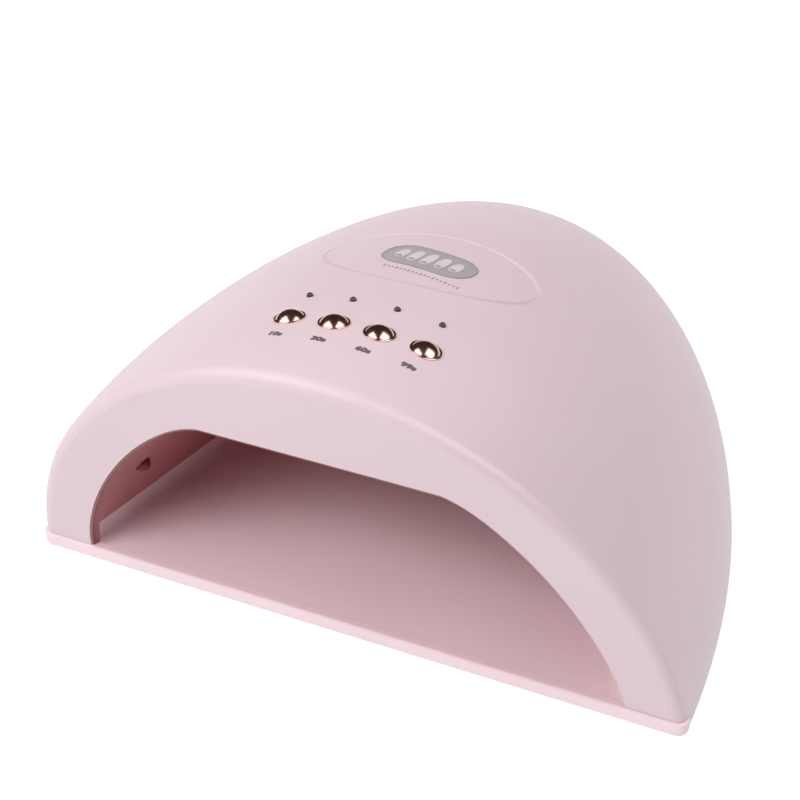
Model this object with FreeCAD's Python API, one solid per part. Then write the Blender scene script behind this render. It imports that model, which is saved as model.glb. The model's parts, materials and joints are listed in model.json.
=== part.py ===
import FreeCAD, Part
import math
import os

V = FreeCAD.Vector

# UV LED nail lamp: a domed housing with four buttons over a flat-roofed hand cavity, which
# lifts off a tray that it holds by magnets. Lengths are in millimetres. While it is built,
# x is to the right, y runs back from the front foot of the tray, z is up from the tray's
# underside. The last step moves everything so that the feet stand on z = 0 and the origin
# is under the middle of the lamp.

# ---------------------------------------------------------------- driving dimensions
# The dome is an ellipsoid whose height is tapered from front to back.
DOME_A = 103.2          # half width
DOME_B = 174.8          # half length
DOME_C = 123.0          # half height
DOME_Y = 28.0           # middle of the ellipsoid, behind the front foot
DOME_Z = -18.9          # middle of the ellipsoid, under the tray's underside
TAPER_1 = 0.259         # share of height lost over the first 100 mm
TAPER_2 = -0.118        # and its second-order part
LEAN = 10.65            # forward lean of the front band, degrees
LEDGE = 0.8             # how far the tray's lip stands in front of the band
LIP_H = 4.8             # height of the lip
CREASE_R = 2.8          # rounding between the band and the dome
SHELL_T = 2.4           # wall of the outer shell
FOOT_H = 1.0            # rubber feet under the tray

# Mouth of the hand cavity, a flat-topped arch
MOUTH_HALF = 83.0       # half width at the lip
MOUTH_TOP = 76.2        # height of its flat top
MOUTH_FLAT = 33.5       # half width of its flat top
MOUTH_POWER = 1.38      # power of cosine and sine along the shoulder

# Hand cavity, which narrows and drops towards the back
CAVITY_BACK_Y = 152.0
CAVITY_BACK_SCALE = 0.48
CAVITY_BACK_TOP = 46.0
LINER_T = 2.0
COLLAR_T = 0.6          # liner's collar inside the band's opening
FLANGE_Z = 14.2         # underside of the liner's flange
FLANGE_T = 2.4

# Tray
TRAY_TOP = 13.7
TRAY_FLOOR = 3.6
TRAY_GAP = 0.5          # between the tray and the shell
COVE_R = 4.0
LIP_DEPTH = 4.2
LIP_W = 202.4
BED_FRONT = 3.6         # tray above the lip starts here, clear of the lifted housing
TRAY_SKIN = 2.4         # tray's top skin over the pockets in its underside
RIB_T = 1.6
RIB_PITCH = 19.0
FOOT_R = 6.0

# Buttons and indicators
BUTTON_X = [-18.9, -6.3, 6.3, 18.9]
BUTTON_Y = 14.5
INDICATOR_Y = 29.3
INDICATOR_SHIFT = -1.1   # the indicators stand to the left of their buttons
CAP_R = 3.75
CAP_BASE = 0.25         # straight rim of a cap, over the dome
CAP_RISE = 1.9          # its crown, over the rim
BEZEL_IN_R = 3.85
BARREL_R = 4.1          # bezel's sleeve through the shell
BEZEL_OUT_R = 4.3
PIPE_R = 0.95
BOARD_DEPTH = 13.8      # top of the control board under the dome, at the buttons
BOARD_T = 1.6
BOARD_W = 66.0
BOARD_L = 36.0
BOARD_SHIFT = 7.5       # board's middle behind the line of buttons
CONNECTOR_Y = 14.0      # lead connector, behind the board's middle
SWITCH_H = 5.0          # tact switch, to the top of its plunger
STEM_R = 1.6            # button stem, with a round tip on the plunger

# Badge and the oval line round it
BADGE_Y = 67.0
BADGE_L = 29.0
BADGE_W = 16.0
BADGE_CORNER_R = 7.4
BADGE_TURN = -9.0       # degrees, off square to the row of buttons
OVAL_Y = 68.0
OVAL_L = 64.0
OVAL_W = 42.0

# Power inlet
JACK_Z = 24.0
JACK_SEAT_Y = 185.5     # flat seat of the inlet, in the back wall
JACK_BOSS_R = 8.6
JACK_RECESS_R = 6.9

GRID = 23               # points each way in the dome's surface
os.makedirs("parts", exist_ok=True)


# ---------------------------------------------------------------- the dome's formula
def taper(y):
    s = y / 100.0
    return 1.0 - TAPER_1 * s - TAPER_2 * s * s


def dome_top(x, y, inset=0.0):
    q = 1.0 - (x / (DOME_A - inset)) ** 2 - ((y - DOME_Y) / (DOME_B - inset)) ** 2
    return taper(y) * (DOME_Z + (DOME_C - inset) * math.sqrt(max(q, 0.0)))


def dome_normal(x, y):
    step = 0.01
    slope_x = (dome_top(x + step, y) - dome_top(x - step, y)) / (2 * step)
    slope_y = (dome_top(x, y + step) - dome_top(x, y - step)) / (2 * step)
    return V(-slope_x, -slope_y, 1).normalize()


def dome_face(inset):
    """One pole-free patch of the tapered ellipsoid, as a stereographic grid."""
    rows = []
    for i in range(GRID):
        u = -0.92 + 1.84 * i / (GRID - 1)
        row = []
        for j in range(GRID):
            v = -0.42 + 1.34 * j / (GRID - 1)
            r = 1.0 + u * u + v * v
            y = DOME_Y + (DOME_B - inset) * 2.0 * v / r
            z = (DOME_Z + (DOME_C - inset) * (2.0 / r - 1.0)) * taper(y)
            row.append(V((DOME_A - inset) * 2.0 * u / r, y, z))
        rows.append(row)
    surface = Part.BSplineSurface()
    surface.interpolate(rows)
    return surface.toShape()


def dome_solid(inset, z_low):
    """The space under the dome, open at the front, from z_low up."""
    block = Part.makeBox(240, 252, 140, V(-120, -38, z_low))
    pieces, _ = block.generalFuse([dome_face(inset)])
    inside = [s for s in pieces.Solids if s.isInside(V(0, 60, 20), 0.001, False)]
    return inside[0]


def band_y(z, inset=0.0):
    lean = math.radians(LEAN)
    return LEDGE - (z - LIP_H) * math.tan(lean) + inset / math.cos(lean)


def in_front(inset):
    """Everything in front of the band's plane, moved back by inset."""
    outline = [V(0, band_y(-30, inset), -30), V(0, band_y(160, inset), 160)]
    outline += [V(0, -90, 160), V(0, -90, -30)]
    face = Part.Face(Part.makePolygon(outline + outline[:1]))
    return face.extrude(V(300, 0, 0)).translated(V(-150, 0, 0))


def slab(z_low, z_high, y_low=-90.0, y_high=260.0):
    return Part.makeBox(300, y_high - y_low, z_high - z_low, V(-150, y_low, z_low))


def lamp_body(inset, z_low, crease_r):
    """The dome cut by the band's plane, with the crease between them rounded."""
    body = dome_solid(inset, z_low).cut(in_front(inset))
    crease = []
    for face in body.Faces:
        if face.Surface.TypeId == "Part::GeomPlane" and face.CenterOfMass.y < 0:
            crease = [e for e in face.Edges if e.Curve.TypeId != "Part::GeomLine"]
    return body.makeFillet(crease_r, crease)


# ---------------------------------------------------------------- helpers
def along(shape, point, normal, turn_x=None):
    """Moves a shape built on z = 0 so that its z axis runs along normal from point."""
    x_axis = turn_x if turn_x is not None else V(1, 0, 0)
    rotation = FreeCAD.Rotation(x_axis, V(), normal, "ZXY")
    moved = shape.copy()
    moved.Placement = FreeCAD.Placement(point, rotation).multiply(moved.Placement)
    return moved


def cylinder(radius, low, high, x=0.0, y=0.0):
    return Part.makeCylinder(radius, high - low, V(x, y, low))


def ring(outer, inner, low, high, x=0.0, y=0.0):
    return cylinder(outer, low, high, x, y).cut(cylinder(inner, low - 1, high + 1, x, y))


def box(length, width, low, high, x=0.0, y=0.0):
    return Part.makeBox(length, width, high - low, V(x - length / 2, y - width / 2, low))


def turned(outline):
    """A solid of revolution about z from (radius, height) points."""
    points = [V(r, 0, h) for r, h in outline]
    face = Part.Face(Part.makePolygon(points + points[:1]))
    return face.revolve(V(), V(0, 0, 1), 360)


def fused(shapes):
    whole = shapes[0]
    if len(shapes) > 1:
        whole = shapes[0].multiFuse(shapes[1:])
    return whole.removeSplitter()


def both_sides(points):
    return [(side * x, y) for x, y in points for side in (-1, 1)]


# ---------------------------------------------------------------- hand cavity
def arch_wire(half, flat, top, foot, y_of_z, count=9):
    """A flat-topped arch with its shoulders as splines, closed below its feet."""
    right = []
    for i in range(count):
        t = math.pi / 2 * i / (count - 1)
        x = flat + (half - flat) * abs(math.cos(t)) ** MOUTH_POWER
        z = foot + (top - foot) * abs(math.sin(t)) ** MOUTH_POWER
        right.append(V(x, y_of_z(z), z))
    left = [V(-p.x, p.y, p.z) for p in reversed(right)]
    low = foot - 8.0
    shoulder_r = Part.BSplineCurve()
    shoulder_r.interpolate(right)
    shoulder_l = Part.BSplineCurve()
    shoulder_l.interpolate(left)
    corner_r = V(half, y_of_z(low), low)
    corner_l = V(-half, y_of_z(low), low)
    edges = [Part.LineSegment(corner_r, right[0]).toShape(), shoulder_r.toShape()]
    edges += [Part.LineSegment(right[-1], left[0]).toShape(), shoulder_l.toShape()]
    edges += [Part.LineSegment(left[-1], corner_l).toShape()]
    edges += [Part.LineSegment(corner_l, corner_r).toShape()]
    return Part.Wire(edges)


def cavity_solid(grow):
    """The hand cavity, grown outwards on its sides, roof and back."""
    mouth = arch_wire(MOUTH_HALF + grow, MOUTH_FLAT, MOUTH_TOP + grow, LIP_H,
                      lambda z: band_y(z, -0.5))
    back = arch_wire(MOUTH_HALF * CAVITY_BACK_SCALE + grow, MOUTH_FLAT * CAVITY_BACK_SCALE,
                     CAVITY_BACK_TOP + grow, LIP_H, lambda z: CAVITY_BACK_Y + grow)
    return Part.makeLoft([mouth, back], True, True)


def roof_z(y, grow=0.0):
    """Height of the cavity's flat roof."""
    front_y = band_y(MOUTH_TOP, -0.5)
    share = (y - front_y) / (CAVITY_BACK_Y - front_y)
    return MOUTH_TOP + grow + share * (CAVITY_BACK_TOP - MOUTH_TOP)


# ---------------------------------------------------------------- layout
SCREW_SPOTS = both_sides([(88.0, 46.0), (77.0, 98.0), (40.0, 166.0)])
POST_SPOTS = both_sides([(28.5, -13.5), (28.5, 13.5)])
MAGNET_SPOTS = both_sides([(91.0, 20.0), (66.0, 122.0)])
FOOT_SPOTS = both_sides([(84.0, 14.0), (52.0, 142.0)]) + [(0.0, 182.0)]
SIDE_SHARE = 0.36                       # height of the side beads along the shoulder
SIDE_BEAD_Y = [12.0, 40.0, 68.0, 96.0]
TOP_BEADS = both_sides([(17.0, 34.0), (15.0, 64.0), (13.0, 94.0), (11.0, 122.0)])
BEAD_HOLE_R = 2.7
BOARD_GAP = 1.2                         # from the liner to a lamp board
LAMP_BOARD_T = 1.2
TOP_BOARD_Y = 78.0
SIDE_BOARD_Y = 54.0
SIDE_BOARD_L = 98.0
TOP_BOARD_L = 100.0
SIDE_FIXING = 35.0                      # fixings of a side board from its middle
TOP_FIXING = 22.0                       # and of the top board

PANEL_N = dome_normal(0.0, BUTTON_Y)
PANEL_P = V(0, BUTTON_Y, dome_top(0.0, BUTTON_Y))
PANEL_Y = V(1, 0, 0).cross(PANEL_N) * -1.0
BOARD_C = PANEL_P - PANEL_N * BOARD_DEPTH + PANEL_Y * BOARD_SHIFT


def surface_point(x, y):
    return V(x, y, dome_top(x, y)), dome_normal(x, y)


def depth_to_board(point, normal, above):
    """Distance from a point on the dome, inwards, to a plane over the board's top."""
    return (point - BOARD_C).dot(PANEL_N) / normal.dot(PANEL_N) - above / normal.dot(PANEL_N)


def on_board(shape, dx, dy):
    """Puts a shape built on z = 0 onto the board's top, dx and dy from its middle."""
    return along(shape, BOARD_C + V(1, 0, 0) * dx + PANEL_Y * dy, PANEL_N)


def board_offset(point):
    away = point - BOARD_C
    return away.x, away.dot(PANEL_Y)


# ---------------------------------------------------------------- outer shell
def badge_prism(grow):
    """A tall prism of the badge's outline, grown all round."""
    prism = box(BADGE_L + 2 * grow, BADGE_W + 2 * grow, 40, 120, 0, BADGE_Y)
    corners = [e for e in prism.Edges if e.BoundBox.ZLength > 50]
    prism = prism.makeFillet(BADGE_CORNER_R + grow, corners)
    prism.rotate(V(0, BADGE_Y, 0), V(0, 0, 1), BADGE_TURN)
    return prism


def oval_ring(length, width, y, line):
    def oval(grow):
        ellipse = Part.Ellipse(V(0, y, 40), length / 2.0 + grow, width / 2.0 + grow)
        return Part.Face(Part.Wire(ellipse.toShape())).extrude(V(0, 0, 80))
    return oval(line / 2.0).cut(oval(-line / 2.0))


def make_outer_shell():
    outer = lamp_body(0.0, 0.4, CREASE_R)
    inner = lamp_body(SHELL_T, -5.0, CREASE_R - 1.5)
    shell = outer.cut(inner)
    shell = shell.cut(slab(-20, LIP_H + 0.2, -60, LIP_DEPTH + 0.3))
    backing = dome_solid(SHELL_T * 0.6, -5.0)
    foot = slab(LIP_H + 0.2, FLANGE_Z - 0.1, -10, BED_FRONT - 0.36)
    bosses = [foot.common(backing).cut(in_front(SHELL_T * 0.5))]
    for x, y in SCREW_SPOTS:
        bosses.append(cylinder(3.4, FLANGE_Z + FLANGE_T + 0.05, 110, x, y).common(backing))
    for dx, dy in POST_SPOTS:
        bosses.append(on_board(cylinder(2.6, 0.05, 14), dx, dy).common(backing))
    seat = Part.makeCylinder(JACK_BOSS_R, 16, V(0, JACK_SEAT_Y - 3.5, JACK_Z), V(0, 1, 0))
    bosses.append(seat.common(backing))
    shell = fused([shell] + bosses).cut(cavity_solid(COLLAR_T + 0.1))
    for x, y in SCREW_SPOTS:
        shell = shell.cut(cylinder(1.5, 5, FLANGE_Z + FLANGE_T + 11, x, y))
    for dx, dy in POST_SPOTS:
        shell = shell.cut(on_board(cylinder(1.25, -1, 6.0), dx, dy))
    for x in BUTTON_X:
        hole = cylinder(BARREL_R + 0.05, -5, 3)
        shell = shell.cut(along(hole, *surface_point(x, BUTTON_Y)))
        hole = cylinder(PIPE_R + 0.05, -5, 3)
        shell = shell.cut(along(hole, *surface_point(x + INDICATOR_SHIFT, INDICATOR_Y)))
    skin = dome_solid(-1.0, 10).cut(dome_solid(0.5, 0))
    shell = shell.cut(badge_prism(0.1).common(skin))
    groove = dome_solid(-1.0, 10).cut(dome_solid(0.15, 0))
    shell = shell.cut(oval_ring(OVAL_L, OVAL_W, OVAL_Y, 1.0).common(groove))
    recess = Part.makeCylinder(JACK_RECESS_R, 30, V(0, JACK_SEAT_Y, JACK_Z), V(0, 1, 0))
    hole = Part.makeCylinder(4.05, 60, V(0, JACK_SEAT_Y - 20, JACK_Z), V(0, 1, 0))
    return shell.cut(recess).cut(hole)


# ---------------------------------------------------------------- liner
def wall_frame(side, share, y):
    """A point on the cavity's shoulder, its outward normal and its fore-and-aft axis."""
    def point(t, depth):
        front = V(MOUTH_FLAT + (MOUTH_HALF - MOUTH_FLAT) * math.cos(t) ** MOUTH_POWER, 0,
                  LIP_H + (MOUTH_TOP - LIP_H) * math.sin(t) ** MOUTH_POWER)
        front.y = band_y(front.z, -0.5)
        half = MOUTH_HALF * CAVITY_BACK_SCALE
        flat = MOUTH_FLAT * CAVITY_BACK_SCALE
        back = V(flat + (half - flat) * math.cos(t) ** MOUTH_POWER, CAVITY_BACK_Y,
                 LIP_H + (CAVITY_BACK_TOP - LIP_H) * math.sin(t) ** MOUTH_POWER)
        k = (depth - front.y) / (back.y - front.y)
        return front + (back - front) * k
    t = math.pi / 2 * share
    here = point(t, y)
    rise = point(t + 0.02, y) - point(t - 0.02, y)
    run = point(t, y + 2) - point(t, y - 2)
    normal = run.cross(rise).normalize() * -1.0
    if normal.x < 0:
        normal = normal * -1.0
    flip = lambda p: V(side * p.x, p.y, p.z)
    return flip(here), flip(normal), flip(run.normalize())


def roof_frame(x, y):
    drop = (CAVITY_BACK_TOP - MOUTH_TOP) / (CAVITY_BACK_Y - band_y(MOUTH_TOP, -0.5))
    normal = V(0, -drop, 1).normalize()
    return V(x, y, roof_z(y)), normal, V(1, 0, 0)


def lamp_board_frames():
    """Of each lamp board: its spot on the liner, normal, length axis, length and fixings."""
    frames = []
    for side in (-1, 1):
        frame = wall_frame(side, SIDE_SHARE, SIDE_BOARD_Y)
        frames.append(frame + (SIDE_BOARD_L, SIDE_FIXING))
    spot, normal, _ = roof_frame(0, TOP_BOARD_Y)
    frames.append((spot, normal, V(1, 0, 0).cross(normal), TOP_BOARD_L, TOP_FIXING))
    return frames


def lamp_board_fixings(shape):
    """A copy of shape at each fixing of the lamp boards."""
    placed = []
    for spot, normal, run, _, reach in lamp_board_frames():
        for end in (-1, 1):
            placed.append(along(shape, spot + run * (end * reach), normal, run))
    return placed


def lamp_board_posts():
    post = cylinder(2.3, LINER_T * 0.5, LINER_T + BOARD_GAP - 0.02)
    return lamp_board_fixings(post)


def make_inner_shell():
    hollow = cavity_solid(0.0)
    wall = cavity_solid(LINER_T).cut(slab(-20, FLANGE_Z)).cut(in_front(SHELL_T + 0.1))
    plate = dome_solid(SHELL_T + 0.3, -5).common(slab(FLANGE_Z, FLANGE_Z + FLANGE_T))
    plate = plate.cut(in_front(SHELL_T + 1.7))
    reach = slab(LIP_H + 0.4, 120, -90, BED_FRONT - 0.36).common(in_front(SHELL_T + 0.6))
    collar = cavity_solid(COLLAR_T).common(reach).cut(in_front(0.25))
    liner = fused([wall, plate, collar] + lamp_board_posts()).cut(hollow)
    notch = Part.makeCylinder(JACK_BOSS_R + 0.4, 30, V(0, JACK_SEAT_Y - 5, JACK_Z), V(0, 1, 0))
    liner = liner.cut(notch)
    for x, y in SCREW_SPOTS:
        liner = liner.cut(cylinder(1.7, 5, 20, x, y))
        head = Part.makeCone(2.9, 1.7, 1.3, V(x, y, FLANGE_Z))
        liner = liner.cut(head)
    for x, y in MAGNET_SPOTS:
        liner = liner.cut(cylinder(4.05, 5, FLANGE_Z + 1.6, x, y))
    for hole in lamp_board_fixings(cylinder(1.05, 0.8, 8)):
        liner = liner.cut(hole)
    for side in (-1, 1):
        for y in SIDE_BEAD_Y:
            spot, normal, run = wall_frame(side, SIDE_SHARE, y)
            liner = liner.cut(along(cylinder(BEAD_HOLE_R, -3, 5), spot, normal, run))
    for x, y in TOP_BEADS:
        liner = liner.cut(along(cylinder(BEAD_HOLE_R, -3, 5), *roof_frame(x, y)))
    return liner


# ---------------------------------------------------------------- tray
def tray_scoop():
    """The tray's coved floor, inside the cavity's plan."""
    def section(half, y):
        floor = half - COVE_R
        bend = COVE_R * (1 - math.cos(math.pi / 4))
        middle = V(half - bend, y, TRAY_FLOOR + bend)
        right = [V(floor, y, TRAY_FLOOR), middle, V(half, y, TRAY_FLOOR + COVE_R)]
        left = [V(-p.x, p.y, p.z) for p in reversed(right)]
        high_r = V(half, y, TRAY_TOP + 2.0)
        high_l = V(-half, y, TRAY_TOP + 2.0)
        edges = [Part.Arc(*right).toShape()]
        edges.append(Part.LineSegment(right[-1], high_r).toShape())
        edges.append(Part.LineSegment(high_r, high_l).toShape())
        edges.append(Part.LineSegment(high_l, left[0]).toShape())
        edges.append(Part.Arc(*left).toShape())
        edges.append(Part.LineSegment(left[-1], right[0]).toShape())
        return Part.Wire(edges)
    front = section(MOUTH_HALF, LIP_DEPTH - 1.2)
    back = section(MOUTH_HALF * CAVITY_BACK_SCALE, CAVITY_BACK_Y)
    return Part.makeLoft([front, back], True, True)


def tray_lip():
    lip = box(LIP_W, LIP_DEPTH, 0, LIP_H, 0, LIP_DEPTH / 2.0)
    corners = [e for e in lip.Edges
               if abs(e.tangentAt(e.FirstParameter).z) > 0.9 and e.CenterOfMass.y < 0.1]
    lip = lip.makeFillet(3.4, corners)
    front = [e for e in lip.Edges
             if e.CenterOfMass.y < 0.5 * LIP_DEPTH and e.BoundBox.ZLength < 0.01]
    return lip.makeFillet(1.0, front)


def tray_pockets():
    """The pockets under the raised rim, between ribs and round pads."""
    rim = dome_solid(SHELL_T + TRAY_GAP + 3.0, -5).common(slab(-1, TRAY_TOP - TRAY_SKIN, 8.0))
    solid = [cavity_solid(3.0)]
    solid += [cylinder(FOOT_R + 2.5, -5, 20, x, y) for x, y in FOOT_SPOTS]
    solid += [cylinder(6.0, -5, 20, x, y) for x, y in MAGNET_SPOTS]
    for step in range(-5, 6):
        solid.append(box(RIB_T, 260, -5, 20, (step + 0.5) * RIB_PITCH, 100))
    for step in range(1, 11):
        solid.append(box(240, RIB_T, -5, 20, 0, step * RIB_PITCH))
    for keep in solid:
        rim = rim.cut(keep)
    return rim


def make_base_tray():
    bed = dome_solid(SHELL_T + TRAY_GAP, -5).common(slab(0, TRAY_TOP, LIP_DEPTH - 1.2))
    bed = bed.cut(slab(LIP_H, 40, -20, BED_FRONT))
    for side in (-1, 1):
        bed = bed.cut(box(16, 12, -1, 40, side * 102.5, 0))
    tray = fused([bed, tray_lip()]).cut(tray_scoop()).cut(tray_pockets())
    for x, y in MAGNET_SPOTS:
        tray = tray.cut(cylinder(4.05, TRAY_TOP - 2.1, 20, x, y))
    for x, y in FOOT_SPOTS:
        tray = tray.cut(cylinder(FOOT_R + 0.05, -1, 0.6, x, y))
    return tray


def make_tray_magnets():
    return [cylinder(4.0, TRAY_TOP - 2.05, TRAY_TOP - 0.05, x, y) for x, y in MAGNET_SPOTS]


def make_rubber_feet():
    feet = []
    for x, y in FOOT_SPOTS:
        foot = cylinder(FOOT_R, -FOOT_H, 0.55, x, y)
        low = [e for e in foot.Edges if e.CenterOfMass.z < -FOOT_H + 0.01]
        feet.append(foot.makeFillet(0.4, low[:1]))
    return feet


# ---------------------------------------------------------------- housing fasteners
def make_housing_discs():
    return [cylinder(4.0, FLANGE_Z + 0.05, FLANGE_Z + 1.55, x, y) for x, y in MAGNET_SPOTS]


def make_shell_screws():
    screws = []
    for x, y in SCREW_SPOTS:
        head = Part.makeCone(2.8, 1.5, 1.3, V(x, y, FLANGE_Z + 0.05))
        shank = cylinder(1.45, FLANGE_Z + 0.5, FLANGE_Z + FLANGE_T + 9.0, x, y)
        cross = box(2.4, 0.6, FLANGE_Z - 1, FLANGE_Z + 0.85, x, y)
        cross = cross.fuse(box(0.6, 2.4, FLANGE_Z - 1, FLANGE_Z + 0.85, x, y))
        screws.append(fused([head, shank]).cut(cross))
    return screws


# ---------------------------------------------------------------- control board
def make_control_board():
    board = on_board(box(BOARD_W, BOARD_L, -BOARD_T, 0), 0, 0)
    for dx, dy in POST_SPOTS:
        board = board.cut(on_board(cylinder(1.4, -5, 5), dx, dy))
    return board


def make_board_screws():
    screws = []
    for dx, dy in POST_SPOTS:
        head = cylinder(2.4, -BOARD_T - 1.65, -BOARD_T - 0.05)
        shank = cylinder(1.2, -BOARD_T - 0.5, 5.0)
        screws.append(on_board(fused([head, shank]), dx, dy))
    return screws


def tip_depth(index):
    """Depth of the middle of a stem's round tip, which rests on its plunger."""
    point, normal = surface_point(BUTTON_X[index], BUTTON_Y)
    return depth_to_board(point, normal, SWITCH_H + STEM_R + 0.02)


def switch_spot(index):
    point, normal = surface_point(BUTTON_X[index], BUTTON_Y)
    return board_offset(point - normal * tip_depth(index))


def make_tact_switches():
    bodies = []
    for index in range(len(BUTTON_X)):
        dx, dy = switch_spot(index)
        body = box(6.0, 6.0, 0.05, 3.5).cut(cylinder(1.95, 1.8, 5))
        bodies.append(on_board(body, dx, dy))
    return bodies


def make_microcontroller():
    return [on_board(box(6.4, 5.0, -BOARD_T - 1.4, -BOARD_T - 0.05), 10, 2)]


def make_power_transistor():
    return [on_board(box(6.6, 6.1, -BOARD_T - 2.3, -BOARD_T - 0.05), -10, 4)]


def make_inductor():
    core = cylinder(4.0, -BOARD_T - 3.4, -BOARD_T - 0.05)
    waist = ring(5.0, 3.2, -BOARD_T - 2.6, -BOARD_T - 0.9)
    return [on_board(core.cut(waist), 2, 10)]


def make_capacitor():
    can = Part.makeCylinder(3.1, 9.0, V(-4.5, 0, -BOARD_T - 3.2), V(1, 0, 0))
    return [on_board(can, -19, -7.0)]


def make_board_connector():
    block = box(9.0, 5.6, 0.05, 4.6).cut(box(7.4, 4.4, 1.0, 3.8, 0, 1.6))
    return [on_board(block, 0, CONNECTOR_Y)]


def pipe_spot(index):
    point, normal = surface_point(BUTTON_X[index] + INDICATOR_SHIFT, INDICATOR_Y)
    depth = depth_to_board(point, normal, 1.0)
    return point, normal, depth


def make_indicator_leds():
    leds = []
    for index in range(len(BUTTON_X)):
        point, normal, depth = pipe_spot(index)
        dx, dy = board_offset(point - normal * depth)
        leds.append(on_board(box(2.0, 1.25, 0.05, 0.85), dx, dy))
    return leds


def make_light_pipes():
    pipes = []
    for index in range(len(BUTTON_X)):
        point, normal, depth = pipe_spot(index)
        stem = cylinder(PIPE_R, -depth + 0.5, 0.1)
        tip = Part.makeSphere(PIPE_R, V(0, 0, 0.1))
        collar = cylinder(1.7, -SHELL_T - 1.6, -SHELL_T - 0.2)
        pipes.append(along(fused([stem, tip, collar]), point, normal))
    return pipes


# ---------------------------------------------------------------- buttons
def make_button_bezels():
    outline = [(BEZEL_IN_R, -3.2), (BARREL_R, -3.2), (BARREL_R, 0.03)]
    outline += [(BEZEL_OUT_R, 0.03), (BEZEL_OUT_R, 0.18), (BEZEL_OUT_R - 0.12, 0.3)]
    outline += [(BEZEL_IN_R + 0.1, 0.3), (BEZEL_IN_R, 0.2)]
    return [along(turned(outline), *surface_point(x, BUTTON_Y)) for x in BUTTON_X]


def make_button_cap(index):
    point, normal = surface_point(BUTTON_X[index], BUTTON_Y)
    tip_h = -tip_depth(index)
    crown_r = (CAP_R * CAP_R + CAP_RISE * CAP_RISE) / (2 * CAP_RISE)
    crown = Part.makeSphere(crown_r, V(0, 0, CAP_BASE + CAP_RISE - crown_r))
    crown = crown.common(cylinder(CAP_R, CAP_BASE, 5))
    skirt = cylinder(CAP_R, -3.6, CAP_BASE)
    stop = cylinder(4.6, -4.1, -3.25)
    stem = cylinder(STEM_R, tip_h, -3.9)
    tip = Part.makeSphere(STEM_R, V(0, 0, tip_h))
    return along(fused([crown, skirt, stop, stem, tip]), point, normal)


def make_switch_plunger(index):
    dx, dy = switch_spot(index)
    knob = cylinder(1.75, 2.5, SWITCH_H - 0.02)
    edge = [e for e in knob.Edges if e.CenterOfMass.z > SWITCH_H - 0.1]
    return on_board(knob.makeFillet(0.5, edge[:1]), dx, dy)


# ---------------------------------------------------------------- badge
def make_badge():
    skin = dome_solid(-0.12, 10).cut(dome_solid(0.48, 0))
    return badge_prism(0.0).common(skin)


# ---------------------------------------------------------------- curing lights
def lamp_board(index, width):
    spot, normal, run, length, reach = lamp_board_frames()[index]
    board = box(length, width, 0, LAMP_BOARD_T)
    for end in (-1, 1):
        board = board.cut(cylinder(1.3, -1, 3, end * reach, 0))
    return along(board, spot + normal * (LINER_T + BOARD_GAP), normal, run)


def make_lamp_board_screws():
    screw = fused([cylinder(2.1, LINER_T + BOARD_GAP + LAMP_BOARD_T + 0.03,
                            LINER_T + BOARD_GAP + LAMP_BOARD_T + 1.5),
                   cylinder(1.0, 0.9, LINER_T + BOARD_GAP + LAMP_BOARD_T + 0.5)])
    return lamp_board_fixings(screw)


def bead():
    """A bead on its board: a square package with a domed lens that stands in the cavity."""
    package = box(4.6, 4.6, LINER_T + 0.5, LINER_T + BOARD_GAP - 0.2)
    collar = cylinder(2.3, 0, LINER_T + 0.8)
    lens = Part.makeSphere(2.3, V()).common(cylinder(2.3, -3, 0))
    return fused([package, collar, lens])


def side_beads(side):
    beads = []
    for y in SIDE_BEAD_Y:
        spot, normal, run = wall_frame(side, SIDE_SHARE, y)
        beads.append(along(bead(), spot, normal, run))
    return beads


def make_top_beads():
    return [along(bead(), *roof_frame(x, y)) for x, y in TOP_BEADS]


# ---------------------------------------------------------------- power inlet
def jack_part(outline):
    return along(turned(outline), V(0, JACK_SEAT_Y, JACK_Z), V(0, 1, 0), V(1, 0, 0))


def make_jack_body():
    return jack_part([(2.85, -9.0), (2.85, 1.6), (3.4, 2.2), (6.0, 2.2), (6.4, 1.8),
                      (6.4, 0.03), (3.95, 0.03), (3.95, -12.0), (0.0, -12.0), (0.0, -11.0),
                      (2.2, -11.0), (2.2, -9.0)])


def make_jack_pin():
    return jack_part([(0.0, -10.95), (2.15, -10.95), (2.15, -9.6), (1.0, -9.6), (1.0, 0.4),
                      (0.6, 0.9), (0.0, 1.0)])


def make_jack_nut():
    hexagon = [V(6.6 * math.cos(math.pi / 3 * i), 6.6 * math.sin(math.pi / 3 * i), -6.0)
               for i in range(6)]
    nut = Part.Face(Part.makePolygon(hexagon + hexagon[:1])).extrude(V(0, 0, 2.4))
    nut = nut.cut(cylinder(4.0, -8, 0))
    return along(nut, V(0, JACK_SEAT_Y, JACK_Z), V(0, 1, 0), V(1, 0, 0))


# ---------------------------------------------------------------- leads inside the housing
def lead(points, radius):
    """A round lead along straight runs joined by tangent arcs."""
    edges = []
    start = points[0]
    for i in range(1, len(points) - 1):
        corner = points[i]
        before = (points[i - 1] - corner).normalize()
        after = (points[i + 1] - corner).normalize()
        runs = min((points[i - 1] - corner).Length, (points[i + 1] - corner).Length)
        setback = 0.45 * runs
        turn = math.pi - before.getAngle(after)
        arc_r = setback / math.tan(turn / 2.0)
        middle = (before + after).normalize()
        bulge = math.hypot(arc_r, setback) - arc_r
        first = corner + before * setback
        last = corner + after * setback
        edges.append(Part.LineSegment(start, first).toShape())
        edges.append(Part.Arc(first, corner + middle * bulge, last).toShape())
        start = last
    edges.append(Part.LineSegment(start, points[-1]).toShape())
    path = Part.Wire(edges)
    direction = points[1] - points[0]
    circle = Part.Wire(Part.Circle(points[0], direction, radius).toShape())
    tube = path.makePipeShell([circle], True, True)
    return tube


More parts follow.
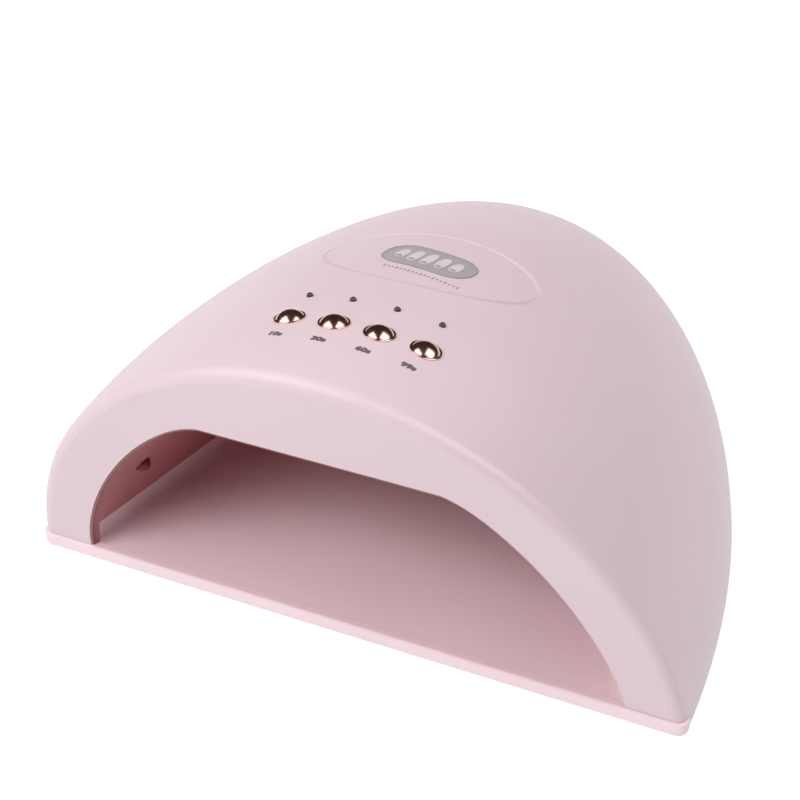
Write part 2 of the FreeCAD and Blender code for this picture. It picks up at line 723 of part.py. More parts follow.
def make_power_lead():
    """Red and black, from the inlet's tags over the lamp board to the control board."""
    leads = []
    for x in (-1.3, 1.3):
        plug = BOARD_C + PANEL_Y * (CONNECTOR_Y + 0.4) + PANEL_N * 2.4
        clear = BOARD_C + PANEL_Y * (CONNECTOR_Y + 18.0) + PANEL_N * 2.4
        points = [V(x, plug.y, plug.z), V(x, clear.y, clear.z)]
        points += [V(x, 92.0, roof_z(92.0) + 12.0), V(x, 128.0, roof_z(128.0) + 11.5)]
        points += [V(x, 161.0, 50.5), V(x, 165.5, JACK_Z), V(x, JACK_SEAT_Y - 12.05, JACK_Z)]
        leads.append(lead(points, 0.8))
    return leads


def make_lamp_leads():
    """A pair from the top lamp board down to each side board."""
    leads = []
    for side in (-1, 1):
        for y in (53.0, 56.0):
            spot, normal, _ = roof_frame(side * 18.0, y)
            start = spot + normal * (LINER_T + BOARD_GAP + LAMP_BOARD_T + 0.05)
            side_spot, side_normal, _ = wall_frame(side, SIDE_SHARE, y)
            end = side_spot + side_normal * (LINER_T + BOARD_GAP + LAMP_BOARD_T + 0.4)
            points = [start, start + normal * 5.0]
            points += [V(side * 44.0, y, start.z - 1.0), end + side_normal * 7.0 + V(0, 0, 4)]
            points += [end]
            leads.append(lead(points, 0.7))
    return leads


# ---------------------------------------------------------------- put together
def build():
    nodes = {
        "outer_shell": make_outer_shell(),
        "inner_shell": make_inner_shell(),
        "base_tray": make_base_tray(),
        "tray_magnets": make_tray_magnets(),
        "rubber_feet": make_rubber_feet(),
        "keeper_discs": make_housing_discs(),
        "shell_screws": make_shell_screws(),
        "control_board": make_control_board(),
        "board_screws": make_board_screws(),
        "tact_switches": make_tact_switches(),
        "microcontroller": make_microcontroller(),
        "power_transistor": make_power_transistor(),
        "inductor": make_inductor(),
        "filter_capacitor": make_capacitor(),
        "board_connector": make_board_connector(),
        "indicator_leds": make_indicator_leds(),
        "light_pipes": make_light_pipes(),
        "button_bezels": make_button_bezels(),
        "badge_plate": make_badge(),
        "lamp_board_left": lamp_board(0, 13.0),
        "lamp_board_right": lamp_board(1, 13.0),
        "lamp_board_top": lamp_board(2, 44.0),
        "lamp_board_screws": make_lamp_board_screws(),
        "lamp_beads_left": side_beads(-1),
        "lamp_beads_right": side_beads(1),
        "lamp_beads_top": make_top_beads(),
        "power_lead": make_power_lead(),
        "lamp_leads": make_lamp_leads(),
        "dc_jack_body": make_jack_body(),
        "dc_jack_pin": make_jack_pin(),
        "dc_jack_nut": make_jack_nut(),
    }
    for index in range(len(BUTTON_X)):
        nodes["button_cap_%d" % (index + 1)] = make_button_cap(index)
        nodes["switch_plunger_%d" % (index + 1)] = make_switch_plunger(index)
    return nodes


def main():
    nodes = build()
    extent = nodes["outer_shell"].optimalBoundingBox(False, False)
    middle = (extent.YMin + extent.YMax) / 2.0
    print("depth", round(extent.YLength, 2), "width", round(extent.XLength, 2),
          "height", round(extent.ZMax + FOOT_H, 2), "origin y", round(middle, 3))
    for name, shape in nodes.items():
        if isinstance(shape, list):
            shape = Part.makeCompound(shape)
        shape = shape.translated(V(0, -middle, FOOT_H))
        solids = shape.Solids
        print("%-20s solids %2d volume %9.1f valid %s" %
              (name, len(solids), shape.Volume, shape.isValid()))
        shape = solids[0] if len(solids) == 1 else Part.makeCompound(solids)
        shape.exportStep("parts/%s.step" % name)


main()
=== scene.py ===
import json
import math

import bpy
from mathutils import Matrix, Vector
from mathutils.bvhtree import BVHTree


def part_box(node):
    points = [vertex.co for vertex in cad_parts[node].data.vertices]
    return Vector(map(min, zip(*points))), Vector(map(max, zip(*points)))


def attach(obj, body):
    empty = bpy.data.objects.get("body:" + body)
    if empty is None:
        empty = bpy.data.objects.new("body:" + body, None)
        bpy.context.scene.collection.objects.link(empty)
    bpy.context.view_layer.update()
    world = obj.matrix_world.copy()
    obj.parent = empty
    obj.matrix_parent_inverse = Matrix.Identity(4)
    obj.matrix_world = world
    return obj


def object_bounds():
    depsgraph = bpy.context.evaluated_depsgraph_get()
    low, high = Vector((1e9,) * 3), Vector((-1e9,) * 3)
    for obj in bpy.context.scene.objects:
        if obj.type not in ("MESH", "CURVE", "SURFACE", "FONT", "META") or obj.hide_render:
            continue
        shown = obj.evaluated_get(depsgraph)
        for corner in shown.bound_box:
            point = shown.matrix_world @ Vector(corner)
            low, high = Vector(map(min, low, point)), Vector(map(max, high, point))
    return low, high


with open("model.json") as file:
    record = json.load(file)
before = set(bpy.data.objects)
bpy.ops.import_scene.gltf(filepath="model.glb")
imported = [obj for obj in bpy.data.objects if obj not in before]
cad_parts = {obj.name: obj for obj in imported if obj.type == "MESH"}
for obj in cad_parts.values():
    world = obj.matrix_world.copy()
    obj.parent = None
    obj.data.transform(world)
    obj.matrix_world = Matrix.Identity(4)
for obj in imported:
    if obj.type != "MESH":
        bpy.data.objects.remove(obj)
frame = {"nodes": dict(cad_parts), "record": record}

CAD_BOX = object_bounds()
NODES = frame["nodes"]
MM = 0.001

# ---------------------------------------------------------------- camera
CAMERA_AZIMUTH = math.radians(21.61)
CAMERA_ELEVATION = math.radians(38.62)
CAMERA_ROLL = math.radians(0.36)
CAMERA_DISTANCE = 0.4183
CAMERA_AIM = Vector((0.0, -0.0916, 0.001))      # middle of the lip's front edge
AIM_SHIFT_RIGHT = 0.01687
AIM_SHIFT_UP = 0.06809
LENS_MM = 64.9
SENSOR_MM = 36.0
CLIP_START = 0.01
TOWARDS_CAMERA = Vector((math.sin(CAMERA_AZIMUTH), -math.cos(CAMERA_AZIMUTH), 0.0))


def camera_axes():
    a, e, roll = CAMERA_AZIMUTH, CAMERA_ELEVATION, CAMERA_ROLL
    level = Vector((math.cos(a), math.sin(a), 0.0))
    back = Vector((math.sin(a) * math.cos(e), -math.cos(a) * math.cos(e), math.sin(e)))
    rise = back.cross(level)
    right = level * math.cos(roll) + rise * math.sin(roll)
    return right, back.cross(right), back


def make_camera():
    right, up, back = camera_axes()
    aim = CAMERA_AIM + right * AIM_SHIFT_RIGHT + up * AIM_SHIFT_UP
    data = bpy.data.cameras.new("camera")
    data.lens = LENS_MM
    data.sensor_width = SENSOR_MM
    data.clip_start = CLIP_START
    camera = bpy.data.objects.new("camera", data)
    rotation = Matrix((right, up, back)).transposed().to_4x4()
    camera.matrix_world = Matrix.Translation(aim + back * CAMERA_DISTANCE) @ rotation
    bpy.context.scene.collection.objects.link(camera)
    bpy.context.scene.camera = camera


# ---------------------------------------------------------------- materials
BAND_LEAN = math.radians(10.65)
BAND_PLANE = -88.2 * MM         # the band's plane, along its own normal from the middle
RIM_DEPTH = 1.0 * MM            # the liner's collar, back from that plane, which takes painted shade and light
RIM_SHADE_TO_LIGHT = (0.02, 0.07)   # x from where to where the collar's painted shade turns to painted light
OVAL_Y = -23.637 * MM           # middle of the oval groove
OVAL_HALF_L = 32.0 * MM
OVAL_HALF_W = 21.0 * MM
OVAL_SOFT = 0.045               # half width of the painted shade and highlight line, as a share of the oval


class Recipe:
    """A node material being put together round its Principled shader."""

    def __init__(self, name):
        self.material = bpy.data.materials.new(name)
        self.material.use_nodes = True
        self.tree = self.material.node_tree
        self.shader = self.tree.nodes["Principled BSDF"]
        self.place = self.add("ShaderNodeTexCoord").outputs["Object"]

    def add(self, kind, **settings):
        made = self.tree.nodes.new(kind)
        for key, value in settings.items():
            setattr(made, key, value)
        return made

    def set(self, **values):
        for key, value in values.items():
            self.shader.inputs[key.replace("_", " ")].default_value = value

    def feed(self, source, target):
        self.tree.links.new(source, target)

    def noise(self, scale, detail=3.0, stretch=None, roughness=0.5):
        made = self.add("ShaderNodeTexNoise")
        made.inputs["Scale"].default_value = scale
        made.inputs["Detail"].default_value = detail
        made.inputs["Roughness"].default_value = roughness
        source = self.place
        if stretch:
            mapping = self.add("ShaderNodeMapping")
            mapping.inputs["Scale"].default_value = stretch
            self.feed(source, mapping.inputs["Vector"])
            source = mapping.outputs["Vector"]
        self.feed(source, made.inputs["Vector"])
        return made.outputs["Fac"]

    def spread(self, source, low, high, start=0.3, end=0.7):
        """The source's range from start to end, spread over low to high."""
        made = self.add("ShaderNodeMapRange")
        made.inputs["From Min"].default_value = start
        made.inputs["From Max"].default_value = end
        made.inputs["To Min"].default_value = low
        made.inputs["To Max"].default_value = high
        self.feed(source, made.inputs["Value"])
        return made.outputs["Result"]

    def mix(self, factor, first, second):
        """A colour mix; its node's colour sockets are 6 and 7, and 2 on the way out."""
        made = self.add("ShaderNodeMix", data_type="RGBA")
        for value, socket in ((first, made.inputs[6]), (second, made.inputs[7])):
            if isinstance(value, tuple):
                socket.default_value = (*value, 1.0)
            else:
                self.feed(value, socket)
        self.feed(factor, made.inputs[0])
        return made.outputs[2]

    def dot(self, source, direction):
        made = self.add("ShaderNodeVectorMath", operation="DOT_PRODUCT")
        made.inputs[1].default_value = direction
        self.feed(source, made.inputs[0])
        return made.outputs["Value"]

    def bump(self, height, strength, distance):
        made = self.add("ShaderNodeBump")
        made.inputs["Strength"].default_value = strength
        made.inputs["Distance"].default_value = distance
        self.feed(height, made.inputs["Height"])
        self.feed(made.outputs["Normal"], self.shader.inputs["Normal"])

    def colour(self, source):
        self.feed(source, self.shader.inputs["Base Color"])

    def roughness(self, source):
        self.feed(source, self.shader.inputs["Roughness"])


def satin_recipe(name, light, deep, low=0.34, high=0.44):
    """A fine-grained moulded plastic with a soft sheen, and its slow changes of tone."""
    r = Recipe(name)
    tone = r.mix(r.spread(r.noise(22.0, 4.0), 0.0, 1.0), light, deep)
    r.roughness(r.spread(r.noise(900.0, 2.0), low, high))
    r.set(Subsurface_Weight=0.05, Subsurface_Radius=(0.9, 0.45, 0.4), Subsurface_Scale=0.003)
    r.bump(r.noise(2600.0, 3.0, roughness=0.6), 0.10, 0.00006)
    return r, tone


def satin(name, light, deep, low, high):
    r, tone = satin_recipe(name, light, deep, low, high)
    r.colour(tone)
    return r.material


def liner_with_painted_shade(name, light, deep, rim_painted_shade, rim_painted_light):
    """The cavity's plastic, darkened as painted shade; its collar has painted shade on the left
    and painted light on the right.
    """
    r, tone = satin_recipe(name, light, deep, 0.42, 0.55)
    behind = r.dot(r.place, (0.0, math.cos(BAND_LEAN), math.sin(BAND_LEAN)))
    front = r.spread(behind, 1.0, 0.0, BAND_PLANE + RIM_DEPTH, BAND_PLANE + 2.0 * RIM_DEPTH)
    # The collar: painted shade on the left, turning to painted light on the right.
    right = r.spread(r.dot(r.place, (1.0, 0.0, 0.0)), 0.0, 1.0, *RIM_SHADE_TO_LIGHT)
    r.colour(r.mix(front, tone, r.mix(right, rim_painted_shade, rim_painted_light)))
    return r.material


def shell_with_groove_shade(name, light, deep, groove_painted_shade, groove_painted_highlight):
    """The dome's plastic, with a soft line along the oval groove round the badge: painted shade
    on its front side, a painted highlight on its back side.
    """
    r, tone = satin_recipe(name, light, deep)
    mapping = r.add("ShaderNodeMapping")
    mapping.inputs["Location"].default_value = (0.0, -OVAL_Y / OVAL_HALF_W, 0.0)
    mapping.inputs["Scale"].default_value = (1.0 / OVAL_HALF_L, 1.0 / OVAL_HALF_W, 0.0)
    r.feed(r.place, mapping.inputs["Vector"])
    from_middle = mapping.outputs["Vector"]
    length = r.add("ShaderNodeVectorMath", operation="LENGTH")
    r.feed(from_middle, length.inputs[0])
    distance = length.outputs["Value"]
    groove_line_mask = r.add("ShaderNodeMath", operation="MULTIPLY")
    r.feed(r.spread(distance, 0.0, 1.0, 1.0 - OVAL_SOFT, 1.0), groove_line_mask.inputs[0])
    r.feed(r.spread(distance, 1.0, 0.0, 1.0, 1.0 + OVAL_SOFT), groove_line_mask.inputs[1])
    # Painted shade on the groove's front side, turning to a painted highlight on its back side.
    towards_back = r.dot(from_middle, (0.0, 1.0, 0.0))
    tint = r.mix(r.spread(towards_back, 0.0, 1.0, -0.3, 0.5), groove_painted_shade, groove_painted_highlight)
    r.colour(r.mix(groove_line_mask.outputs[0], tone, tint))
    return r.material


def plated(name, light, deep, low, high, ripple=0.02):
    """Plated metal: slow changes of tone, faint orange peel and uneven gloss."""
    r = Recipe(name)
    r.set(Metallic=1.0)
    r.colour(r.mix(r.spread(r.noise(160.0, 2.0), 0.0, 1.0), light, deep))
    r.roughness(r.spread(r.noise(420.0, 4.0), low, high))
    r.bump(r.noise(700.0, 2.0), ripple, 0.00004)
    return r.material


def brushed(name, light, deep, stretch, low=0.25, high=0.42, metallic=1.0):
    """Metal or metal paint with fine lines one way."""
    r = Recipe(name)
    r.set(Metallic=metallic)
    lines = r.noise(240.0, 4.0, stretch)
    r.colour(r.mix(lines, light, deep))
    r.roughness(r.spread(lines, low, high))
    r.bump(lines, 0.12, 0.00003)
    return r.material


def rubber(name, light, deep):
    """Dull soft rubber."""
    r = Recipe(name)
    r.colour(r.mix(r.spread(r.noise(300.0, 5.0), 0.0, 1.0), light, deep))
    r.roughness(r.spread(r.noise(800.0, 3.0), 0.62, 0.8))
    r.bump(r.noise(1800.0, 4.0), 0.25, 0.0001)
    return r.material


def moulded(name, light, deep, low=0.42, high=0.6, grain=0.2):
    """Hard plastic with a fine moulded grain."""
    r = Recipe(name)
    r.colour(r.mix(r.spread(r.noise(120.0, 4.0), 0.0, 1.0), light, deep))
    r.roughness(r.spread(r.noise(600.0, 3.0), low, high))
    r.bump(r.noise(3200.0, 3.0), grain, 0.00005)
    return r.material


def laminate(name, mask, trace, pitch):
    """A board's solder mask over tracks, with the weave of its glass underneath."""
    r = Recipe(name)
    wave = r.add("ShaderNodeTexWave", wave_type="BANDS", bands_direction="X")
    wave.inputs["Scale"].default_value = pitch
    wave.inputs["Distortion"].default_value = 3.5
    wave.inputs["Detail"].default_value = 1.0
    r.feed(r.place, wave.inputs["Vector"])
    tracks = r.spread(wave.outputs["Fac"], 0.0, 1.0, 0.62, 0.70)
    weave = r.add("ShaderNodeTexChecker")
    weave.inputs["Scale"].default_value = 900.0
    r.feed(r.place, weave.inputs["Vector"])
    r.colour(r.mix(tracks, mask, trace))
    r.roughness(r.spread(weave.outputs["Fac"], 0.28, 0.34, 0.0, 1.0))
    r.bump(tracks, 0.3, 0.00005)
    return r.material


def lens(name, light, deep, clear, low=0.06, high=0.14, coat=0.6):
    """Silicone or epoxy over a dark emitter."""
    r = Recipe(name)
    r.colour(r.mix(r.spread(r.noise(260.0, 2.0), 0.0, 1.0), light, deep))
    r.roughness(r.spread(r.noise(700.0, 3.0), low, high))
    r.set(Transmission_Weight=clear, IOR=1.42, Coat_Weight=coat, Coat_Roughness=0.08)
    r.bump(r.noise(500.0, 2.0), 0.04, 0.00005)
    return r.material


def print_ink(name, light, deep):
    """Screen-printed ink: slightly uneven, drier than the plastic below it."""
    r = Recipe(name)
    r.colour(r.mix(r.spread(r.noise(1500.0, 3.0), 0.0, 1.0), light, deep))
    r.roughness(r.spread(r.noise(1200.0, 3.0), 0.42, 0.62))
    r.bump(r.noise(4000.0, 2.0), 0.15, 0.00003)
    return r.material


def flex(name, light, deep):
    """The soft insulation of a lead."""
    r = Recipe(name)
    r.colour(r.mix(r.spread(r.noise(90.0, 3.0), 0.0, 1.0), light, deep))
    r.roughness(r.spread(r.noise(500.0, 3.0), 0.3, 0.42))
    r.bump(r.noise(1500.0, 3.0), 0.1, 0.00005)
    return r.material


def make_materials():
    """One material for each slot of the record."""
    return {
        # shell_pink's last two colours are the painted shade and the painted highlight along the
        # oval groove.
        "shell_pink": shell_with_groove_shade("shell_pink", (0.735, 0.588, 0.632), (0.712, 0.566, 0.610),
                                    (0.64, 0.508, 0.549), (0.84, 0.69, 0.73)),
        # The liner's dark red-brown is painted shade: the cavity's plastic darkened to look
        # shaded.
        "liner_pink": liner_with_painted_shade("liner_pink", (0.41, 0.140, 0.150), (0.36, 0.118, 0.128),
                                    # The collar's colours: painted shade on the left, painted
                                    # light on the right.
                                    (0.27, 0.088, 0.095), (0.72, 0.52, 0.56)),
        "tray_pink": satin("tray_pink", (0.90, 0.720, 0.760), (0.875, 0.690, 0.730), 0.38, 0.48),
        "foot_rubber": rubber("foot_rubber", (0.30, 0.26, 0.27), (0.24, 0.21, 0.22)),
        "magnet_nickel": plated("magnet_nickel", (0.72, 0.71, 0.70), (0.62, 0.61, 0.60),
                                0.14, 0.26),
        "zinc_steel": brushed("zinc_steel", (0.62, 0.63, 0.66), (0.48, 0.49, 0.52),
                              (1.0, 1.0, 8.0)),
        "board_laminate": laminate("board_laminate", (0.02, 0.13, 0.05), (0.04, 0.24, 0.10),
                                   260.0),
        "lamp_board_white": laminate("lamp_board_white", (0.80, 0.80, 0.77),
                                     (0.68, 0.69, 0.66), 170.0),
        "switch_black": moulded("switch_black", (0.018, 0.018, 0.020), (0.010, 0.010, 0.011)),
        "plunger_white": moulded("plunger_white", (0.74, 0.73, 0.70), (0.66, 0.65, 0.61)),
        "chip_black": moulded("chip_black", (0.016, 0.016, 0.017), (0.026, 0.026, 0.027),
                              0.5, 0.7, grain=0.35),
        "coil_ferrite": moulded("coil_ferrite", (0.035, 0.033, 0.032), (0.055, 0.050, 0.048),
                                0.5, 0.7, grain=0.4),
        "capacitor_sleeve": brushed("capacitor_sleeve", (0.58, 0.60, 0.63), (0.46, 0.48, 0.52),
                                    (10.0, 1.0, 1.0)),
        "connector_white": moulded("connector_white", (0.78, 0.76, 0.70), (0.70, 0.67, 0.60),
                                   0.35, 0.5, grain=0.1),
        "indicator_diode": lens("indicator_diode", (0.75, 0.75, 0.68), (0.66, 0.66, 0.58),
                                clear=0.4),
        "pipe_smoke": lens("pipe_smoke", (0.070, 0.050, 0.058), (0.045, 0.030, 0.036),
                           clear=0.1, low=0.18, high=0.30),
        "rose_chrome": plated("rose_chrome", (0.80, 0.52, 0.47), (0.72, 0.44, 0.39),
                              0.15, 0.20, 0.01),
        "rose_bezel": plated("rose_bezel", (0.86, 0.56, 0.50), (0.78, 0.48, 0.42), 0.16, 0.26),
        "badge_grey": brushed("badge_grey", (0.46, 0.42, 0.44), (0.41, 0.37, 0.39),
                              (1.0, 6.0, 1.0), 0.32, 0.44, metallic=0.10),
        "bead_violet": lens("bead_violet", (0.25, 0.030, 0.027), (0.17, 0.020, 0.018),
                            clear=0.0, low=0.55, high=0.70, coat=0.0),
        "lead_pvc": flex("lead_pvc", (0.42, 0.020, 0.018), (0.34, 0.015, 0.014)),
        "jack_black": moulded("jack_black", (0.016, 0.016, 0.018), (0.024, 0.024, 0.026)),
        "pin_nickel": plated("pin_nickel", (0.70, 0.68, 0.64), (0.60, 0.58, 0.54), 0.12, 0.24),
    }


def dress_nodes(slots):
    """Every CAD node gets the node material of its slot in the record."""
    for part in frame["record"]["subparts"]:
        data = NODES[part["node"]].data
        data.materials.clear()
        data.materials.append(slots[part["material_slot"]])


# ---------------------------------------------------------------- print on the dome
PRINT_LIFT = 0.02 * MM          # gap under a printed or fitted mark
PRINT_T = 0.03 * MM
DROP_FROM = 1.0                 # height that the rays down to a surface start from
TIMER_TEXT = ["10s", "30s", "60s", "99s"]
TIMER_SIZE = 2.8 * MM
TIMER_WEIGHT = 0.20 * MM
TIMER_AHEAD = 9.4 * MM          # middle of a timer number, ahead of its button


def surface_tree(node):
    """A tree of the node's faces, for finding its surface from above."""
    mesh = NODES[node].data
    points = [v.co.copy() for v in mesh.vertices]
    return BVHTree.FromPolygons(points, [tuple(p.vertices) for p in mesh.polygons])


def on_surface(tree, x, y, lift):
    """The surface's point above or below a place, or else the one nearest to it."""
    spot, normal, _, _ = tree.ray_cast(Vector((x, y, DROP_FROM)), Vector((0.0, 0.0, -1.0)))
    if spot is None:
        spot, normal, _, _ = tree.find_nearest(Vector((x, y, CAD_BOX[1][2])))
    return spot + normal * lift


def add_piece(name, points, faces, material, thickness):
    """A thin printed piece, given a thickness outwards, on the housing."""
    mesh = bpy.data.meshes.new(name)
    mesh.from_pydata(points, [], faces)
    mesh.materials.append(material)
    piece = bpy.data.objects.new(name, mesh)
    bpy.context.scene.collection.objects.link(piece)
    solid = piece.modifiers.new("thickness", "SOLIDIFY")
    solid.thickness = thickness
    solid.offset = 1.0
    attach(piece, "housing")


def middle_of(node):
    low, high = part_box(node)
    return (Vector(low) + Vector(high)) / 2.0


def text_outline(words, size):
    """Flat faces of a short string, about its own middle."""
    curve = bpy.data.curves.new("words", "FONT")
    curve.body = words
    curve.size = size
    curve.align_x = "CENTER"
    curve.align_y = "CENTER"
    curve.resolution_u = 3
    curve.offset = TIMER_WEIGHT
    holder = bpy.data.objects.new("words", curve)
    mesh = bpy.data.meshes.new_from_object(holder)
    points = [v.co.copy() for v in mesh.vertices]
    faces = [tuple(p.vertices) for p in mesh.polygons]
    bpy.data.objects.remove(holder)
    bpy.data.curves.remove(curve)
    bpy.data.meshes.remove(mesh)
    return points, faces


def make_timer_numbers(tree, ink):
    """A time in front of each button."""
    for index, words in enumerate(TIMER_TEXT):
        cap = middle_of("button_cap_%d" % (index + 1))
        flat, faces = text_outline(words, TIMER_SIZE)
        points = [on_surface(tree, cap.x + p.x, cap.y - TIMER_AHEAD + p.y, PRINT_LIFT)
                  for p in flat]
        add_piece("timer_number_%d" % (index + 1), points, faces, ink, PRINT_T)


# ---------------------------------------------------------------- badge
BADGE_TURN = math.radians(-9.0)
BADGE_L = 29.0 * MM
BADGE_W = 16.0 * MM
BADGE_CORNER_R = 7.4 * MM
NAIL_PITCH = 4.4 * MM
NAIL_W = 3.4 * MM
NAIL_TAPER = 0.22               # how much narrower the tip is
NAIL_SQUARE = 0.45              # from 0, an ellipse, to 1, a rectangle
NAIL_TALL = (6.6 * MM, 8.2 * MM, 9.0 * MM, 8.2 * MM, 6.6 * MM)
MARK_T = 0.10 * MM              # thickness of the border and the nails
MOON_T = 0.05 * MM
MOON_LIFT = 0.13 * MM           # half-moons stand on the nails
MOON_BACK = 0.42                # from a nail's middle, as a share of its length
MOON_R = 0.30 * NAIL_W
MOON_RISE = 1.1                 # its height, as a share of its radius
BORDER_FROM = 0.15 * MM         # in from the badge's edge
BORDER_TO = 0.85 * MM
TICK_COUNT = 19
TICK_PITCH = 1.3 * MM
TICK_W = 0.6 * MM
TICK_CORNER_R = 0.28 * MM
TICK_TALL = (1.7 * MM, 1.1 * MM, 1.1 * MM)
TICK_AHEAD = 11.4 * MM          # row of ticks, ahead of the badge's middle
TICK_SHIFT = 3.6 * MM           # and towards its right end


def badge_point(x, y):
    """A point of the badge's own plan, turned and moved onto the lamp."""
    c, s = math.cos(BADGE_TURN), math.sin(BADGE_TURN)
    middle = middle_of("badge_plate")
    return middle.x + x * c - y * s, middle.y + x * s + y * c


def badge_outline(inset):
    return rounded(BADGE_L - 2 * inset, BADGE_W - 2 * inset, BADGE_CORNER_R - inset)


def band(outer, inner):
    """Faces between two closed loops of as many points."""
    count = len(outer)
    faces = []
    for i in range(count):
        j = (i + 1) % count
        faces.append((i, j, count + j, count + i))
    return outer + inner, faces


def rounded(length, width, corner, steps=10, runs=12):
    """The outline of a rounded rectangle, with points along its straight parts too."""
    half_l, half_w = length / 2.0 - corner, width / 2.0 - corner
    loop = []
    corners = [(half_l, -half_w), (half_l, half_w), (-half_l, half_w), (-half_l, -half_w)]
    for turn, (x, y) in enumerate(corners):
        for i in range(steps + 1):
            a = math.radians(90.0 * (turn - 1) + 90.0 * i / steps)
            loop.append((x + corner * math.cos(a), y + corner * math.sin(a)))
        start = Vector(loop[-1])
        after = corners[(turn + 1) % 4]
        a = math.radians(90.0 * turn)
        end = Vector((after[0] + corner * math.cos(a), after[1] + corner * math.sin(a)))
        for i in range(1, runs):
            loop.append(tuple(start.lerp(end, i / runs)))
    return loop


def nail(width, length, steps=28):
    """The outline of a fingernail: a rounded tip over a squarer root."""
    loop = []
    for i in range(steps):
        a = 2.0 * math.pi * i / steps
        x = math.cos(a)
        y = math.sin(a)
        narrowing = 1.0 - NAIL_TAPER * max(y, 0.0) ** 1.5
        square = 1.0 / max(abs(x), abs(y)) ** NAIL_SQUARE
        loop.append((x * square * narrowing * width / 2.0, y * square * length / 2.0))
    return loop


def half_moon(radius, steps=16):
    """The outline of a half-moon, flat side down."""
    arc = []
    for i in range(steps + 1):
        a = math.pi * i / steps
        arc.append((radius * math.cos(a), radius * MOON_RISE * math.sin(a)))
    return arc


def fan(loop):
    """Triangles from the middle of a closed loop out to its points."""
    count = len(loop)
    middle = (sum(p[0] for p in loop) / count, sum(p[1] for p in loop) / count)
    faces = [(i, (i + 1) % count, count) for i in range(count)]
    return loop + [middle], faces


def plan_piece(name, plan, faces, tree, material, thickness, lift=PRINT_LIFT):
    """A piece drawn on the badge's plan and laid on a surface."""
    points = [on_surface(tree, *badge_point(x, y), lift) for x, y in plan]
    add_piece(name, points, faces, material, thickness)


def in_row(index, count, pitch):
    """How far from the middle of its row a mark stands."""
    return (index - (count - 1) / 2.0) * pitch


def make_badge_marks(dome, badge, pale, dark, rim):
    """A border, five fingernails and a row of ticks, in place of the badge's words."""
    edge, faces = band(badge_outline(BORDER_FROM), badge_outline(BORDER_TO))
    plan_piece("badge_border", edge, faces, badge, rim, MARK_T)
    for index, tall in enumerate(NAIL_TALL):
        shift = in_row(index, len(NAIL_TALL), NAIL_PITCH)
        plate, faces = fan([(x + shift, y) for x, y in nail(NAIL_W, tall)])
        plan_piece("badge_nail_%d" % (index + 1), plate, faces, badge, pale, MARK_T)
        root = [(x + shift, y - MOON_BACK * tall) for x, y in half_moon(MOON_R)]
        moon, faces = fan(root)
        plan_piece("badge_moon_%d" % (index + 1), moon, faces, badge, dark, MOON_T, MOON_LIFT)
    for index in range(TICK_COUNT):
        shift = in_row(index, TICK_COUNT, TICK_PITCH) + TICK_SHIFT
        tall = TICK_TALL[index % len(TICK_TALL)]
        bar = rounded(TICK_W, tall, TICK_CORNER_R, steps=4, runs=2)
        tick, faces = fan([(x + shift, y - TICK_AHEAD) for x, y in bar])
        plan_piece("badge_tick_%02d" % (index + 1), tick, faces, dome, dark, PRINT_T)


# ---------------------------------------------------------------- stage and lights
WORLD_BEHIND = (0.30, (0.09, 0.05, 0.05, 1.0))      # a place on the ramp, and its colour
WORLD_AHEAD = (0.75, (0.12, 0.11, 0.115, 1.0))
WORLD_STRENGTH = 0.6
LIGHTS_AIM = Vector((0.0, 0.0, 0.04))
SOFTBOX_TINT = (1.0, 0.985, 0.99)
FLOOR_HALF = 4.0
FLOOR_Z = -0.05 * MM
FLOOR_GLOW = 0.84               # keeps the floor white to its far edge


def area_light(name, azimuth, elevation, distance, size, watts, colour=(1.0, 1.0, 1.0),
               reflected=True, lighting=True):
    """A softbox that faces the lamp; azimuth is from CAMERA_AZIMUTH, to the right."""
    a = CAMERA_AZIMUTH + math.radians(azimuth)
    e = math.radians(elevation)
    offset = Vector((math.sin(a) * math.cos(e), -math.cos(a) * math.cos(e), math.sin(e)))
    data = bpy.data.lights.new(name, "AREA")
    data.shape = "RECTANGLE"
    data.size, data.size_y = size
    data.energy = watts
    data.color = colour
    light = bpy.data.objects.new(name, data)
    light.location = LIGHTS_AIM + offset * distance
    light.rotation_euler = (-offset).to_track_quat("-Z", "Y").to_euler()
    light.visible_glossy = reflected
    light.visible_diffuse = lighting
    bpy.context.scene.collection.objects.link(light)


def make_world():
    """Pale in front of the lamp, dark behind it, as in a studio with a black back wall."""
    world = bpy.data.worlds.new("studio")
    bpy.context.scene.world = world
    world.use_nodes = True
    tree = world.node_tree
    background = tree.nodes["Background"]
    place = tree.nodes.new("ShaderNodeTexCoord")
    ahead = tree.nodes.new("ShaderNodeVectorMath")
    ahead.operation = "DOT_PRODUCT"
    ahead.inputs[1].default_value = TOWARDS_CAMERA
    ramp = tree.nodes.new("ShaderNodeValToRGB")
    for stop, (position, tint) in zip(ramp.color_ramp.elements, (WORLD_BEHIND, WORLD_AHEAD)):
        stop.position = position
        stop.color = tint
    share = tree.nodes.new("ShaderNodeMapRange")
    share.inputs["From Min"].default_value = -1.0
    tree.links.new(place.outputs["Generated"], ahead.inputs[0])
    tree.links.new(ahead.outputs["Value"], share.inputs["Value"])
    tree.links.new(share.outputs["Result"], ramp.inputs["Fac"])
    tree.links.new(ramp.outputs["Color"], background.inputs["Color"])
    background.inputs["Strength"].default_value = WORLD_STRENGTH


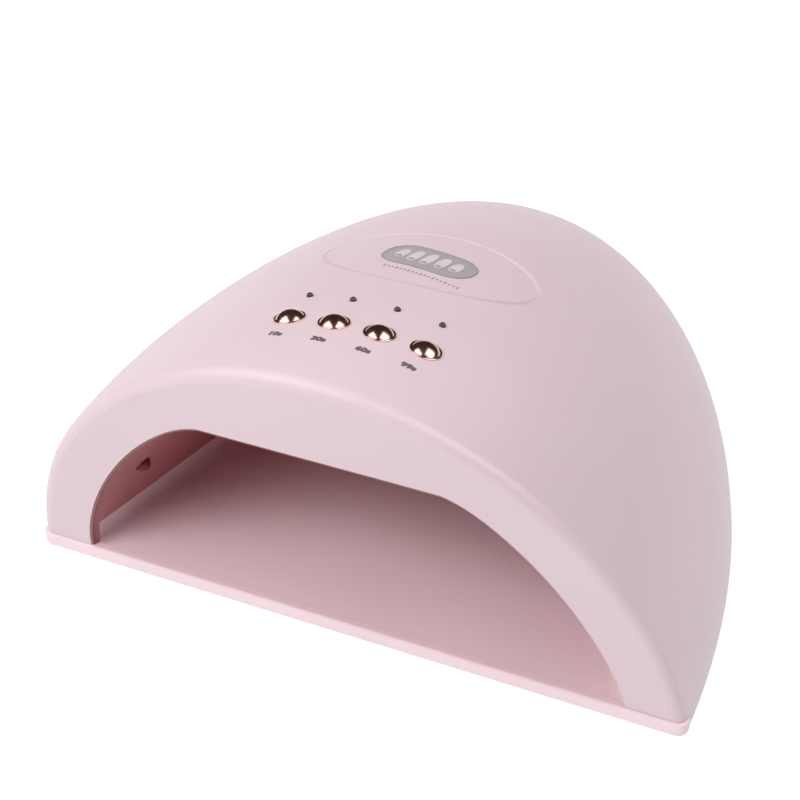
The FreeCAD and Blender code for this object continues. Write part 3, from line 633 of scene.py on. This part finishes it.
def make_lights():
    """Softboxes, cards that show only in the metal, and fills that don't show in it."""
    area_light("key_softbox", -72.0, 48.0, 0.95, (0.90, 0.80), 2.6, SOFTBOX_TINT)
    area_light("right_softbox", 76.0, 50.0, 0.95, (0.80, 0.80), 2.25, SOFTBOX_TINT)
    area_light("left_card", -66.0, 46.0, 0.95, (0.80, 0.80), 2.6, lighting=False)
    area_light("right_card", 62.0, 48.0, 0.95, (0.80, 0.80), 2.6, lighting=False)
    area_light("front_fill", -40.0, 44.0, 1.2, (0.6, 0.4), 6.9, reflected=False)
    area_light("high_fill", 0.0, 62.0, 1.1, (0.6, 0.5), 1.2, reflected=False)
    area_light("back_left_fill", -140.0, 50.0, 1.1, (0.9, 0.8), 2.5, reflected=False)
    area_light("back_right_fill", 140.0, 50.0, 1.1, (0.9, 0.8), 4.05, reflected=False)


def make_floor():
    mesh = bpy.data.meshes.new("floor")
    corners = [(x * FLOOR_HALF, y * FLOOR_HALF, FLOOR_Z)
               for x, y in ((-1, -1), (1, -1), (1, 1), (-1, 1))]
    mesh.from_pydata(corners, [], [(0, 1, 2, 3)])
    floor = bpy.data.objects.new("floor", mesh)
    bpy.context.scene.collection.objects.link(floor)
    r = Recipe("floor_white")
    r.colour(r.mix(r.spread(r.noise(3.0, 3.0), 0.0, 1.0), (0.23, 0.23, 0.23), (0.21, 0.21, 0.21)))
    r.roughness(r.spread(r.noise(40.0, 3.0), 0.7, 0.85))
    r.set(Emission_Color=(1.0, 1.0, 1.0, 1.0), Emission_Strength=FLOOR_GLOW)
    mesh.materials.append(r.material)


# ---------------------------------------------------------------- put together
bpy.context.scene.view_settings.view_transform = "Standard"
make_camera()
make_world()
make_lights()
make_floor()
dress_nodes(make_materials())
DOME_TREE = surface_tree("outer_shell")
BADGE_TREE = surface_tree("badge_plate")
INK = print_ink("timer_ink", (0.17, 0.12, 0.14), (0.13, 0.09, 0.11))
PALE = print_ink("badge_pale", (0.66, 0.62, 0.64), (0.61, 0.57, 0.59))
DARK = print_ink("badge_dark", (0.35, 0.31, 0.33), (0.30, 0.265, 0.285))
RIM = print_ink("badge_rim", (0.41, 0.375, 0.393), (0.37, 0.335, 0.352))
make_timer_numbers(DOME_TREE, INK)
make_badge_marks(DOME_TREE, BADGE_TREE, PALE, DARK, RIM)
